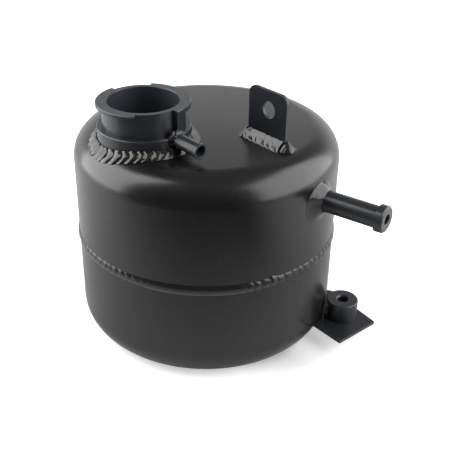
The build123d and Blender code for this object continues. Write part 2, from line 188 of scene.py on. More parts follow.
def add_node(tree, kind, inputs=None, **settings):
    """A shader node with its settings, input values and links."""
    node = tree.nodes.new(kind)
    for name, value in settings.items():
        setattr(node, name, value)
    for name, value in (inputs or {}).items():
        if isinstance(value, bpy.types.NodeSocket):
            tree.links.new(value, node.inputs[name])
        else:
            node.inputs[name].default_value = value
    return node


def new_material(name):
    """An empty node material and its tree."""
    material = bpy.data.materials.new(name)
    material.use_nodes = True
    material.node_tree.nodes.clear()
    return material, material.node_tree


def finish_surface(tree, shader):
    """Links a shader to the material's output."""
    add_node(tree, "ShaderNodeOutputMaterial", {"Surface": shader.outputs[0]})


# Where nearly all values of a noise texture lie
NOISE_RANGE = (0.3, 0.7)
# The length over which a coat's roughness drifts
DRIFT_LENGTH = 30 * MM
COAT_IOR = 1.5


def coat_material(name, colour, roughness, spread, peel, peel_height, tool_lines=None):
    """Black coat: its roughness drifts over centimetres and its skin has a faint orange peel.

    peel is the width of the orange peel's dimples, and tool_lines is (pitch, height) for the
    lines of turned faces, drawn round the neck's axis.
    """
    material, tree = new_material(name)
    place = add_node(tree, "ShaderNodeTexCoord").outputs["Object"]
    drift = add_node(tree, "ShaderNodeTexNoise",
                     {"Vector": place, "Scale": 1 / DRIFT_LENGTH, "Detail": 3.0})
    rough = ramp(tree, drift.outputs["Fac"], *NOISE_RANGE, roughness - spread, roughness + spread)
    dimples = add_node(tree, "ShaderNodeTexNoise",
                       {"Vector": place, "Scale": 1 / peel, "Detail": 2.0})
    bump = add_node(tree, "ShaderNodeBump", {
        "Height": dimples.outputs["Fac"], "Strength": 1.0, "Distance": peel_height})
    if tool_lines:
        pitch, height = tool_lines
        centred = add_node(tree, "ShaderNodeMapping", {"Vector": place, "Location": -NECK_CENTRE})
        # A wave texture of scale 1 repeats after pi / 10
        lines = add_node(tree, "ShaderNodeTexWave", {
            "Vector": centred.outputs["Vector"], "Scale": math.pi / 10 / pitch,
            "Distortion": 0.0}, wave_type="RINGS", rings_direction="Z")
        bump = add_node(tree, "ShaderNodeBump", {
            "Height": lines.outputs["Fac"], "Strength": 1.0, "Distance": height,
            "Normal": bump.outputs["Normal"]})
    shader = add_node(tree, "ShaderNodeBsdfPrincipled", {
        "Base Color": colour, "Roughness": rough, "IOR": COAT_IOR, "Normal": bump.outputs["Normal"]})
    finish_surface(tree, shader)
    return material


def ramp(tree, value, low, high, first, last):
    """Socket that runs from a first to a last value as another runs from low to high."""
    node = add_node(tree, "ShaderNodeMapRange", {
        "Value": value, "From Min": low, "From Max": high, "To Min": first, "To Max": last})
    return node.outputs["Result"]


# The finishes by their short names
FINISHES = {}


def make_finishes(colours):
    """Makes the finishes that the pieces share."""
    part = linear_colour(colours.part_coat)
    rough = colours.coat_roughness
    # Drawn aluminium under a sprayed satin black: smooth, with a soft sheen
    FINISHES["pressing"] = coat_material(
        "satin_black_coat_on_pressing", linear_colour(colours.pressing_coat), rough,
        spread=0.02, peel=2.5 * MM, peel_height=0.002 * MM)
    # Cut sheet under the same coat
    FINISHES["sheet"] = coat_material(
        "satin_black_coat_on_sheet", part, rough - 0.02,
        spread=0.03, peel=1.5 * MM, peel_height=0.004 * MM)
    # The sheet's sheared edge, whose fine tearing shows through the coat
    FINISHES["edge"] = coat_material(
        "black_coat_on_sheared_edge", part, rough + 0.16,
        spread=0.05, peel=0.35 * MM, peel_height=0.05 * MM)
    # Turned aluminium under a thin coat: a lathe leaves lines about 0.3 mm apart, too fine to show
    # here, so they are drawn 0.7 mm apart
    FINISHES["turned"] = coat_material(
        "thin_black_coat_on_turned_part", part, rough + 0.06,
        spread=0.06, peel=0.9 * MM, peel_height=0.012 * MM, tool_lines=(0.7 * MM, 0.01 * MM))
    # Machined bores: dark and dull, but greyer and lighter than the coat, a painted light for what the
    # shaded bores reflect
    FINISHES["bore"] = coat_material(
        "bore_painted_lighter_colour", linear_colour(colours.bore_colour_painted_lighter), 0.5,
        spread=0.05, peel=1.0 * MM, peel_height=0.01 * MM)
    # Fused bead: the coat lies glossier over the solidified ripples
    FINISHES["bead"] = coat_material(
        "glossy_black_coat_on_weld_bead", linear_colour(colours.bead_coat), rough - 0.06,
        spread=0.04, peel=0.9 * MM, peel_height=0.012 * MM)


# Mesh helpers
SHARP_ANGLE = math.radians(32)
# Vertices of a CAD mesh that are closer than this become one
WELD_DISTANCE = 0.001 * MM
# Polygons that meet at less than this angle become one
FLAT_ANGLE = math.radians(0.5)
BEVEL_SEGMENTS = 3
# How far off its true radius a bore's polygons may lie
BORE_SLACK = 0.05 * MM
# The cosines under which a normal counts as across a bore's axis, or across a sheet's own normal
BORE_COSINE = 0.5
EDGE_COSINE = 0.3


def add_piece(name, bm, finish, slot, *nodes, second=None, flat_faces=False):
    """Makes a bmesh a piece that rides on the tank and stands for CAD nodes.

    second is (finish, test): polygons that pass the test get the other finish.
    """
    bm.normal_update()
    for face in bm.faces:
        face.smooth = True
    for edge in bm.edges:
        edge.smooth = edge.calc_face_angle(0.0) < SHARP_ANGLE
    mesh = bpy.data.meshes.new(name)
    bm.to_mesh(mesh)
    bm.free()
    mesh.materials.append(FINISHES[finish])
    if second:
        other, chosen = second
        mesh.materials.append(FINISHES[other])
        for polygon in mesh.polygons:
            polygon.material_index = int(chosen(polygon))
    piece = bpy.data.objects.new(name, mesh)
    bpy.context.scene.collection.objects.link(piece)
    if flat_faces:
        weighted = piece.modifiers.new("flat_faces", "WEIGHTED_NORMAL")
        weighted.keep_sharp = True
    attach(piece, "root")
    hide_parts(*nodes)


def set_finish(node, finish):
    """Gives a CAD node that stays its finish."""
    mesh = frame["nodes"][node].data
    mesh.materials.clear()
    mesh.materials.append(FINISHES[finish])


def inside_bore(origin, axis, radius):
    """Test for the polygons that line a bore."""

    def chosen(polygon):
        offset = polygon.center - origin
        across = offset - axis * offset.dot(axis)
        return across.length < radius + BORE_SLACK and abs(polygon.normal.dot(axis)) < BORE_COSINE

    return chosen


def across_normal(normal):
    """Test for the polygons of a sheet's edges, which face away from its normal."""
    return lambda polygon: abs(polygon.normal.dot(normal)) < EDGE_COSINE


def surface_tree(node):
    """Tree of the polygons of a CAD node, for rays to hit."""
    bm = bmesh.new()
    bm.from_mesh(frame["nodes"][node].data)
    tree = BVHTree.FromBMesh(bm)
    bm.free()
    return tree


def axis_frame(origin, axis):
    """Matrix whose Z runs along an axis from an origin."""
    turn = axis.to_track_quat("Z", "Y")
    return Matrix.Translation(origin) @ turn.to_matrix().to_4x4()


def welded_copy(node):
    """Copy of a CAD node's mesh whose faces share their vertices."""
    bm = bmesh.new()
    bm.from_mesh(frame["nodes"][node].data)
    bmesh.ops.remove_doubles(bm, verts=bm.verts, dist=WELD_DISTANCE)
    return bm


def rounded_copy(node, width):
    """Welded copy of a CAD node with its sharp edges rounded."""
    bm = welded_copy(node)
    bmesh.ops.dissolve_limit(bm, angle_limit=FLAT_ANGLE, verts=bm.verts, edges=bm.edges)
    bm.normal_update()
    sharp = [edge for edge in bm.edges if edge.calc_face_angle(0.0) > SHARP_ANGLE]
    bmesh.ops.bevel(bm, geom=sharp, offset=width, offset_type="OFFSET", segments=BEVEL_SEGMENTS,
                    profile=0.5, affect="EDGES", clamp_overlap=True, material=-1)
    return bm


# A ripple rises faster than it falls, and its back is fuller than a sine wave's
RIPPLE_SKEW = 0.75
RIPPLE_FULLNESS = 0.75


class Ripples:
    """The unequal ripples along one bead: each has its own length and height."""

    def __init__(self, count, seed, length_spread=0.16, height_spread=0.25):
        draw = random.Random(seed)
        self.count = count
        self.starts = [i + draw.uniform(-length_spread, length_spread) for i in range(count)]
        self.heights = [1.0 - draw.uniform(0.0, height_spread) for _ in range(count)]
        self.reaches = [draw.uniform(-1.0, 1.0) for _ in range(count)]

    def at(self, place):
        """(height, reach drift) at a place that counts in ripples along the bead."""
        place %= self.count
        index = int(math.floor(place))
        for candidate in (index + 1, index, index - 1):
            start = self.start(candidate)
            if place >= start:
                break
        within = (place - start) / (self.start(candidate + 1) - start)
        within = min(max(within, 0.0), 1.0)
        wave = math.sin(math.pi * within ** RIPPLE_SKEW)
        which = candidate % self.count
        blend = (1 - math.cos(2 * math.pi * within)) / 2
        height = max(wave, 0.0) ** RIPPLE_FULLNESS * self.heights[which]
        return height, blend * self.reaches[which]

    def start(self, index):
        """Where a ripple starts, counted in ripples."""
        turns, rest = divmod(index, self.count)
        return self.starts[rest] + turns * self.count


# The share of the points round a bead's section that lie open: the others are buried
CROWN_SHARE = 0.8
# How many ripples a ripple's toes lie behind its middle, which bends it to a crescent
RIPPLE_LAG = 0.55
# How much further the lower end of a ripple trails than its upper end
TRAIL = 0.35


def ring_bead(ripples, steps, around, place):
    """Closed ring bead: a spun circle whose points place() lays out.

    place(turn, across, wave, drift) gives a point for across 0 at the bead's upper toe to 1 at
    its lower toe. For across None it gives a point buried under the bead, and wave is above 0
    on the upper half.
    """
    # A ring of radius 1, of whose points only the angles are kept
    bm = bmesh.new()
    upright = Matrix.Translation((1.0, 0.0, 0.0)) @ Matrix.Rotation(math.pi / 2, 4, "X")
    bmesh.ops.create_circle(bm, segments=around, radius=0.25, matrix=upright)
    bmesh.ops.spin(bm, geom=bm.verts[:] + bm.edges[:], cent=(0, 0, 0), axis=UP,
                   angle=2 * math.pi, steps=steps, use_merge=True)
    for vert in bm.verts:
        turn = math.atan2(vert.co.y, vert.co.x)
        side = math.atan2(vert.co.z, math.hypot(vert.co.x, vert.co.y) - 1.0) / math.pi
        vert.co = lay_point(ripples, turn / (2 * math.pi) * ripples.count, turn, side, place)
    bmesh.ops.recalc_face_normals(bm, faces=bm.faces)
    return bm


def lay_point(ripples, along, turn, side, place):
    """The place of one point of a bead, from its angle round the bead's section."""
    if abs(side) > CROWN_SHARE:
        return place(turn, None, side, 0.0)
    across = (1 - side / CROWN_SHARE) / 2
    wave, drift = ripples.at(along + RIPPLE_LAG * (2 * across - 1) ** 2 + TRAIL * across)
    return place(turn, across, wave, drift)


def lumps(point, size, height):
    """Smooth unevenness of a hand-laid bead: signed height over lumps of a given size."""
    return height * noise.noise(point / size)


# Points round a fillet's section
FILLET_POINTS = 18
# How far a fillet goes into its stub, and how far out of it the ground's height is taken
FILLET_ROOT = 0.4 * MM
GROUND_PROBE = 1.0 * MM
# Above these heights a ripple pushes a bead's toes or skin out, and a fillet's crown
TOE_MIDDLE = 0.5
CROWN_MIDDLE = 0.6
# How far each ripple's own reach moves a fillet's toe and its top
TOE_DRIFT = 0.5
TOP_DRIFT = 0.3
FILLET_LUMP_SIZE = 3 * MM


def fillet_bead(origin, axis, stub_radius, rise, reach, bulge, depth, ripples, steps, ground,
                scallop=0.5 * MM, cast_height=30 * MM, lean=Vector(), bury=0.8 * MM,
                vigour=lambda turn: 1.0, lump=0.25 * MM):
    """Rippled fillet round a stub, from its side down to the ground that rays find.

    At each turn round the axis rise gives how high the bead stands on the stub, bulge gives its
    crown and vigour scales its ripples. reach is how far it spreads, and lean how much further it
    does so towards one side. scallop is how uneven its edges are, cast_height is where the rays
    start, bury is how deep it goes under the ground and lump is the height of its unevenness.
    """
    stand = axis_frame(origin, axis)
    level = stand.to_3x3().inverted() @ lean

    def drop(turn, radius):
        start = stand @ Vector((radius * math.cos(turn), radius * math.sin(turn), cast_height))
        hit = ground.ray_cast(start, -axis)[0]
        if hit is None:
            raise RuntimeError("a bead found no surface under it")
        return (hit - origin).dot(axis)

    heights = {}

    def place(turn, across, wave, drift):
        key = round(turn, 6)
        if key not in heights:
            heights[key] = drop(turn, stub_radius + GROUND_PROBE)
        base = heights[key]
        if across is None:
            if wave > 0:
                return polar(stand, turn, stub_radius - FILLET_ROOT, base + rise(turn) / 2)
            return polar(stand, turn, stub_radius + reach / 2, base - bury)
        further = level.x * math.cos(turn) + level.y * math.sin(turn)
        ragged = scallop * vigour(turn)
        toe = stub_radius + reach + further + ragged * (wave - TOE_MIDDLE + TOE_DRIFT * drift)
        low = Vector((toe, drop(turn, toe)))
        unevenly = ragged * (wave - TOE_MIDDLE + TOP_DRIFT * drift)
        top = Vector((stub_radius, base + rise(turn) + unevenly))
        chord = low - top
        normal = Vector((-chord.y, chord.x)).normalized()
        if normal.x < 0:
            normal.negate()
        body = 4 * across * (1 - across)
        round_off = body ** 0.5
        crown = bulge(turn) * body + depth * vigour(turn) * (wave - CROWN_MIDDLE) * round_off
        even = top.lerp(low, across) + normal * crown
        uneven = lumps(polar(stand, turn, even.x, even.y), FILLET_LUMP_SIZE, lump) * round_off
        point = even + normal * uneven
        return polar(stand, turn, point.x, point.y)

    return ring_bead(ripples, steps, FILLET_POINTS, place)


def polar(stand, turn, radius, height):
    """A point at a turn, radius and height in a stub's own frame."""
    return stand @ Vector((radius * math.cos(turn), radius * math.sin(turn), height))


# The lump that a bead starts with
BALL_HEIGHT = 0.9 * MM
BALL_WIDTH = 2.6 * MM
SMOOTHING_PASSES = 3
SKIN_LUMP_SIZE = 2.5 * MM


def fused_bead(node, voxel, ripples, place, depth, lump, flatten=0.0, ball=None):
    """A CAD bead remeshed to one soft skin, with ripples along it.

    place(point) gives how many ripples along the bead a point is and where it is across it,
    from -1 to 1. depth is a ripple's height and lump that of the skin's unevenness. flatten is
    how far the middle of the skin is pushed in, and ball is where the bead swells to a round lump.
    """
    bm = welded_copy(node)
    mesh = bpy.data.meshes.new("bead_source")
    bm.to_mesh(mesh)
    bm.free()
    source = bpy.data.objects.new("bead_source", mesh)
    bpy.context.scene.collection.objects.link(source)
    fuse = source.modifiers.new("fuse", "REMESH")
    fuse.mode = "VOXEL"
    fuse.voxel_size = voxel
    fused = bpy.data.meshes.new_from_object(
        source.evaluated_get(bpy.context.evaluated_depsgraph_get()))
    bpy.data.objects.remove(source)
    bpy.data.meshes.remove(mesh)
    bm = bmesh.new()
    bm.from_mesh(fused)
    bpy.data.meshes.remove(fused)
    for _ in range(SMOOTHING_PASSES):
        bmesh.ops.smooth_vert(bm, verts=bm.verts, factor=0.5, use_axis_x=True, use_axis_y=True,
                              use_axis_z=True)
    bm.normal_update()
    moves = []
    for vert in bm.verts:
        along, across = place(vert.co)
        wave, _ = ripples.at(along + RIPPLE_LAG * across * across)
        push = depth * (wave - TOE_MIDDLE) + lumps(vert.co, SKIN_LUMP_SIZE, lump)
        push -= flatten * (1 - across * across)
        if ball:
            push += BALL_HEIGHT * bell((vert.co - ball).length, BALL_WIDTH)
        moves.append((vert, vert.normal * push))
    for vert, move in moves:
        vert.co += move
    return bm


def bell(distance, width):
    """Smooth bump of height 1 at no distance, almost gone at twice the width."""
    return math.exp(-(distance / width) ** 2)


def plateau(distance, half_width, steepness):
    """Smooth step down from 1 to 0, half way at the half width. The steepness is even."""
    return 1 / (1 + (distance / half_width) ** steepness)


# The pieces
class TANK_OT_finishes(Operator):
    """Make the finishes and give the shells theirs"""

    bl_idname = "tank.finishes"
    bl_label = "Finishes and shells"

    def execute(self, context):
        make_finishes(context.scene.tank_colours)
        for node in ("upper_shell", "lower_shell"):
            set_finish(node, "pressing")
        return {"FINISHED"}


class TANK_OT_girth_bead(Operator):
    """Make the rippled bead round the girth"""

    bl_idname = "tank.girth_bead"
    bl_label = "Girth bead"

    def execute(self, context):
        sizes = context.scene.tank_beads

        def place(turn, across, wave, drift):
            # The front of the bead was laid calmly, the sides with deep ripples
            calm = plateau(math.degrees(turn - CALM_TURN), CALM_HALF_WIDTH, 8)
            blob = bell((turn - RESTART_TURN) * TANK_RADIUS, RESTART_WIDTH)
            if across is None:
                radius = TANK_RADIUS - GIRTH_ROOT
                height = GIRTH_ROOT_ABOVE if wave > 0 else -GIRTH_ROOT_BELOW
            else:
                body = 4 * across * (1 - across)
                ragged = GIRTH_RAGGED * (EDGE_VIGOUR - calm) * (
                    wave - GIRTH_TOE_MIDDLE + GIRTH_TOE_DRIFT * drift)
                upper = sizes.girth_upper + ragged + RESTART_RISE * blob
                lower = sizes.girth_lower + ragged - GIRTH_SIDE_LOSS * (1 - calm)
                height = upper - (upper + lower) * across
                crown = sizes.girth_crown + RESTART_CROWN * blob
                valley = sizes.ripple_depth * (RIPPLE_VIGOUR - calm) * (wave - 1.0)
                radius = TANK_RADIUS - GIRTH_TOE_SINK + body * (crown + valley)
            return Vector((radius * math.cos(turn), radius * math.sin(turn), GIRTH_HEIGHT + height))

        ripples = Ripples(sizes.girth_ripples, seed=11)
        bm = ring_bead(ripples, sizes.girth_ripples * GIRTH_STEPS, GIRTH_POINTS, place)
        add_piece("girth_weld_rippled", bm, "bead", "coated_weld_bead", "girth_weld")
        return {"FINISHED"}


# Where the girth's bead is calm, as a plan angle and as degrees to either side
CALM_TURN = math.radians(-93)
CALM_HALF_WIDTH = 23
# How strong its uneven edges and its ripples are elsewhere: where it is calm, both are weaker by 1
EDGE_VIGOUR = 1.3
RIPPLE_VIGOUR = 1.15
# Where it was started again, and the lump there
RESTART_TURN = math.radians(-61)
RESTART_WIDTH = 2.6 * MM
RESTART_RISE = 1.2 * MM
RESTART_CROWN = 0.5 * MM
# How deep the bead's root lies in the wall, and how far above and below the seam
GIRTH_ROOT = 0.8 * MM
GIRTH_ROOT_ABOVE = 1.4 * MM
GIRTH_ROOT_BELOW = 2.0 * MM
GIRTH_TOE_SINK = 0.05 * MM
# How uneven its edges are, and how much less it reaches down where it isn't calm
GIRTH_RAGGED = 0.35 * MM
GIRTH_TOE_MIDDLE = 0.7
GIRTH_TOE_DRIFT = 0.6
GIRTH_SIDE_LOSS = 0.6 * MM
# Steps along each ripple, and points round the section
GIRTH_STEPS = 10
GIRTH_POINTS = 16


class TANK_OT_filler_neck(Operator):
    """Dress the filler neck and make the bead round its collar"""

    bl_idname = "tank.filler_neck"
    bl_label = "Filler neck"

    def execute(self, context):
        sizes = context.scene.tank_beads
        bore = inside_bore(NECK_CENTRE, UP, mount_radius("cap_neck"))
        add_piece("filler_neck_rounded", rounded_copy("filler_neck", 0.2 * MM), "turned",
                  "coated_turned", "filler_neck", flat_faces=True, second=("bore", bore))

        def calm(turn):
            return plateau(turn_gap(turn, NECK_CALM_TURN), NECK_CALM_HALF_WIDTH, 14)

        def vigour(turn):
            fine = bell(turn_gap(turn, NECK_FINE_TURN), NECK_FINE_WIDTH)
            return (NECK_VIGOUR - NECK_CALM_LOSS * calm(turn)) * (1 - NECK_FINE_LOSS * fine)

        bm = fillet_bead(
            NECK_CENTRE + UP * TANK_TOP, UP, NECK_RADIUS,
            rise=lambda turn: sizes.neck_rise + NECK_CALM_LIFT * calm(turn),
            reach=sizes.neck_reach, bulge=lambda turn: NECK_BULGE * (1 - calm(turn)),
            depth=sizes.ripple_depth, ripples=Ripples(sizes.neck_ripples, seed=5),
            steps=sizes.neck_ripples * FILLET_STEPS, ground=surface_tree("upper_shell"),
            cast_height=1 * MM, vigour=vigour)
        add_piece("filler_neck_weld_rippled", bm, "bead", "coated_weld_bead", "filler_neck_weld")
        return {"FINISHED"}


# The neck's bead, with angles in degrees that count from -X
NECK_BULGE = 0.75 * MM
NECK_VIGOUR = 1.1
# Towards +X it is calm and flat and reaches high up the collar
NECK_CALM_TURN = 182
NECK_CALM_HALF_WIDTH = 53
NECK_CALM_LIFT = 1.9 * MM
NECK_CALM_LOSS = 1.09
# Towards the rear its ripples are shallower by a share
NECK_FINE_TURN = 287
NECK_FINE_WIDTH = 30
NECK_FINE_LOSS = 0.4
# Steps along each ripple of a fillet
FILLET_STEPS = 14


def turn_gap(turn, middle):
    """Degrees from a middle angle in degrees to a turn in radians, between -180 and 180."""
    return (math.degrees(turn) - middle + 180) % 360 - 180


class TANK_OT_overflow_nipple(Operator):
    """Dress the overflow nipple and make the bead round its root"""

    bl_idname = "tank.overflow_nipple"
    bl_label = "Overflow nipple"

    def execute(self, context):
        axis = mount_axis("overflow_hose")
        end = mount_point("overflow_hose")
        bore = inside_bore(end, axis, mount_radius("overflow_port"))
        add_piece("overflow_nipple_rounded", rounded_copy("overflow_nipple", 0.15 * MM), "turned",
                  "coated_turned", "overflow_nipple", flat_faces=True, second=("bore", bore))
        # The bead's ground is a plain cylinder of the collar's radius
        collar = bmesh.new()
        bmesh.ops.create_cone(
            collar, segments=256, radius1=NECK_RADIUS, radius2=NECK_RADIUS, depth=60 * MM,
            matrix=Matrix.Translation(NECK_CENTRE + UP * TANK_TOP))
        ground = BVHTree.FromBMesh(collar)
        collar.free()
        root = end - axis * ((end - NECK_CENTRE).dot(axis) - NECK_RADIUS)
        bm = fillet_bead(
            root, axis, NIPPLE_RADIUS, rise=lambda turn: 2.4 * MM, reach=1.9 * MM,
            bulge=lambda turn: 0.45 * MM, depth=0.3 * MM, ripples=Ripples(NIPPLE_RIPPLES, seed=3),
            steps=NIPPLE_RIPPLES * FILLET_STEPS, ground=ground, scallop=0.3 * MM,
            cast_height=8 * MM, bury=3.0 * MM, lump=0.12 * MM)
        add_piece("overflow_nipple_weld_rippled", bm, "bead", "coated_weld_bead",
                  "overflow_nipple_weld")
        return {"FINISHED"}


# The nipple's tube, inside the flare that its hose mount measures
NIPPLE_FLARE = 0.45 * MM
NIPPLE_RADIUS = mount_radius("overflow_hose") - NIPPLE_FLARE
NIPPLE_RIPPLES = 11


class TANK_OT_top_bracket(Operator):
    """Dress the upright tab and make the beads along its foot"""

    bl_idname = "tank.top_bracket"
    bl_label = "Top bracket"

    def execute(self, context):
        add_piece("top_bracket_rounded", rounded_copy("top_bracket", 0.2 * MM), "sheet",
                  "coated_sheet", "top_bracket", flat_faces=True,
                  second=("edge", across_normal(TAB_NORMAL)))
        for side, node, seed in ((1, "top_bracket_front_weld", 8), (-1, "top_bracket_rear_weld", 9)):
            face = TAB_HOLE + TAB_NORMAL * side * TAB_THICKNESS / 2
            ripples = Ripples(TAB_RIPPLES, seed, length_spread=0.2, height_spread=0.3)

            def place(point, face=face, side=side):
                offset = point - face
                out = max(offset.dot(TAB_NORMAL) * side, LEAST_OUT)
                lift = math.atan2(point.z - TANK_TOP, out)
                return offset.dot(TAB_ALONG) * side / TAB_RIPPLE, lift * 4 / math.pi - 1

            start = TAB_HOLE + TAB_ALONG * TAB_START + TAB_NORMAL * side * TAB_START_OUT
            start.z = TANK_TOP + TAB_START_UP
            bm = fused_bead(
                node, voxel=0.25 * MM, ripples=ripples, place=place, depth=0.16 * MM,
                lump=0.08 * MM, flatten=0.6 * MM, ball=start if side > 0 else None)
            add_piece(node + "_rippled", bm, "bead", "coated_weld_bead", node)
        return {"FINISHED"}


# The length of a ripple along the tab, and after how many their pattern repeats
TAB_RIPPLE = 4.8 * MM
TAB_RIPPLES = 9
# A point of the bead counts as at least this far out from the tab's face
LEAST_OUT = 0.0001 * MM
# Where its front bead was started: along the tab from its hole, out from its middle and up
TAB_START = 15.5 * MM
TAB_START_OUT = 2.5 * MM
TAB_START_UP = 2.5 * MM


class TANK_OT_side_spigots(Operator):
    """Dress the two hose spigots and make the beads round their roots"""

    bl_idname = "tank.side_spigots"
    bl_label = "Side spigots"

    def execute(self, context):
        for name, shell, rise, reach, lean, count, seed in (
                ("bleed", "upper_shell", 4.6 * MM, 7.0 * MM, BLEED_LEAN, 5, 21),
                ("outlet", "lower_shell", 4.5 * MM, 4.4 * MM, Vector(), 26, 22)):
            axis = mount_axis(name + "_hose")
            end = mount_point(name + "_hose")
            bore = inside_bore(end, axis, mount_radius(name + "_port"))
            node = name + "_spigot"
            add_piece(node + "_rounded", rounded_copy(node, 0.15 * MM), "turned", "coated_turned",
                      node, flat_faces=True, second=("bore", bore))
            stub = mount_radius(name + "_hose") - SPIGOT_BEAD_CROWN
            root = end - axis * (end.dot(axis) - TANK_RADIUS)
            up_turn = axis_frame(root, axis).to_3x3().inverted() @ UP
            top = math.atan2(up_turn.y, up_turn.x)

            # The beads ripple and bulge at the top, and are smooth and hollow below it
            def vigour(turn, top=top):
                return SPIGOT_CALM + (1 - SPIGOT_CALM) * max(math.cos(turn - top), 0.0)

            def bulge(turn, top=top):
                return SPIGOT_BULGE * math.cos(turn - top) - SPIGOT_HOLLOW

            bm = fillet_bead(
                root, axis, stub, rise=lambda turn, rise=rise: rise, reach=reach, bulge=bulge,
                depth=0.5 * MM, ripples=Ripples(count, seed, height_spread=0.5),
                steps=count * SPIGOT_STEPS, ground=surface_tree(shell), lean=lean,
                lump=0.1 * MM, vigour=vigour)
            add_piece(node + "_weld_rippled", bm, "bead", "coated_weld_bead", node + "_weld")
        return {"FINISHED"}


# How far the spigots' retaining beads stand off their tubes
SPIGOT_BEAD_CROWN = 1.5 * MM
# The bleed spigot's root bead was laid wider towards the tank's front, and narrower at its top
BLEED_LEAN = Vector((-1.25, -1.8, -1.5)) * MM
# The share of their ripples that the root beads keep below, and how their crown goes round:
# the hollow is that of their sides, and the bulge is added at the top and taken off below
SPIGOT_CALM = 0.04
SPIGOT_BULGE = 0.95 * MM
SPIGOT_HOLLOW = 0.45 * MM
SPIGOT_STEPS = 16


class TANK_OT_foot(Operator):
    """Dress the foot plate and its boss and make their beads"""

    bl_idname = "tank.foot"
    bl_label = "Foot"

    def execute(self, context):
        add_piece("foot_plate_rounded", rounded_copy("foot_plate", 0.2 * MM), "sheet",
                  "coated_sheet", "foot_plate", flat_faces=True, second=("edge", across_normal(UP)))
        bore = inside_bore(BOSS_CENTRE, UP, mount_radius("foot_bore"))
        add_piece("foot_boss_rounded", rounded_copy("foot_boss", 0.2 * MM), "turned",
                  "coated_turned", "foot_boss", flat_faces=True, second=("bore", bore))

        def round_tank(point):
            return math.atan2(point.y, point.x) * TANK_RADIUS / PLATE_RIPPLE, 0.0

        def round_boss(point):
            offset = point - BOSS_CENTRE
            return math.atan2(offset.y, offset.x) / (2 * math.pi) * FOOT_RIPPLES, 0.0

        def upright(point):
            return point.z / UPRIGHT_RIPPLE, 0.0

        for node, place, seed in (
                ("foot_plate_weld", round_tank, 31), ("foot_boss_weld", round_boss, 32),
                ("foot_boss_front_weld", upright, 33), ("foot_boss_rear_weld", upright, 34)):
            bm = fused_bead(node, voxel=0.2 * MM, ripples=Ripples(FOOT_RIPPLES, seed),
                            place=place, depth=0.3 * MM, lump=0.12 * MM)
            add_piece(node + "_rippled", bm, "bead", "coated_weld_bead", node)
        return {"FINISHED"}


# The length of a ripple under the plate, and of one beside the boss
PLATE_RIPPLE = 3.5 * MM
UPRIGHT_RIPPLE = 2.6 * MM
# The ripples round the boss, and after how many the other patterns repeat
FOOT_RIPPLES = 16


class TANK_OT_stage(Operator):
    """Set the floor, the backdrop, the lamps and the camera"""

    bl_idname = "tank.stage"
    bl_label = "Stage"

    def execute(self, context):
        stage = context.scene.tank_stage
        make_floor()
        make_lamp("left_softbox", LEFT_PLACE, LEFT_FACING, LEFT_SIZE, stage.left_lamp)
        make_black_card()
        away = Vector((math.cos(RIGHT_TURN), math.sin(RIGHT_TURN), 0))
        make_lamp("right_softbox", away * RIGHT_DISTANCE + UP * RIGHT_HEIGHT, -away, RIGHT_SIZE,
                  stage.right_lamp)
        make_world()
        make_camera(stage)
        return {"FINISHED"}


# The left softbox in metres: where its middle is, where it faces, and its width and height
LEFT_PLACE = Vector((-0.535, 0.04, 0.51))
LEFT_FACING = Vector((0.938, 0.0, -0.347))
LEFT_SIZE = (0.68, 1.07)
# The right softbox stands upright and faces the tank's axis
RIGHT_TURN = math.radians(-6)
RIGHT_DISTANCE = 0.76
RIGHT_HEIGHT = 0.68
RIGHT_SIZE = (1.28, 1.28)
# The card before the left softbox's upper rear corner: its corners to the rear of the softbox's
# middle and up from it, and its gap to the softbox
CARD_OUTLINE = (
    (0.42, 0.13), (0.42, 0.66), (-0.26, 0.66), (-0.26, 0.55), (-0.08, 0.34), (-0.02, 0.19),
    (0.10, 0.14))
CARD_GAP = 0.02

# The paper sweep in metres, which lies just under the tank
FLOOR_DROP = 0.05 * MM
FLOOR_FRONT = -0.40
FLOOR_BACK = 0.95
BACKDROP_LEAN = 0.05
BACKDROP_TOP = 1.40
SWEEP_BEND = 0.12
BEND_SEGMENTS = 8
STAGE_HALF_WIDTH = 1.6


def make_floor():
    """Pale sweep: a floor that ends in front of the tank and curves up behind it."""
    bm = bmesh.new()
    points = ((FLOOR_FRONT, 0.0), (FLOOR_BACK, 0.0), (FLOOR_BACK + BACKDROP_LEAN, BACKDROP_TOP))
    line = [bm.verts.new((-STAGE_HALF_WIDTH, y, z - FLOOR_DROP)) for y, z in points]
    for first, last in zip(line, line[1:]):
        bm.edges.new((first, last))
    bmesh.ops.bevel(bm, geom=[line[1]], offset=SWEEP_BEND, segments=BEND_SEGMENTS, profile=0.5,
                    affect="VERTICES", material=-1)
    swept = bmesh.ops.extrude_edge_only(bm, edges=bm.edges[:])
    moved = [part for part in swept["geom"] if isinstance(part, bmesh.types.BMVert)]
    bmesh.ops.translate(bm, verts=moved, vec=(2 * STAGE_HALF_WIDTH, 0, 0))
    bmesh.ops.recalc_face_normals(bm, faces=bm.faces)
    mesh = bpy.data.meshes.new("studio_sweep")
    bm.to_mesh(mesh)
    bm.free()
    for polygon in mesh.polygons:
        polygon.use_smooth = True
    mesh.materials.append(sweep_material())
    sweep = bpy.data.objects.new("studio_sweep", mesh)
    bpy.context.scene.collection.objects.link(sweep)


# Ramps over the sweep, each from one distance or place to another and from a value to another
# Near the tank the camera's glow on the paper is lower, a painted shade that darkens the paper round the
# tank and lets its own shadow show; further out it is white to the camera
GLOW_WITH_PAINTED_SHADE_NEAR_TANK = (0.09, 0.30, 0.46, 1.0)
# Painted shadow under the tank's rounded edge at the front right: round this spot the camera's white
# glow is cut, which deepens the shadow there, and the ramp says how the white starts round it
PAINTED_SHADOW_SPOT = Vector((0.050, -0.054, 0.0))
GLOW_CUT_FOR_PAINTED_SHADOW = (0.0, 0.032, 0.0, 1.0)
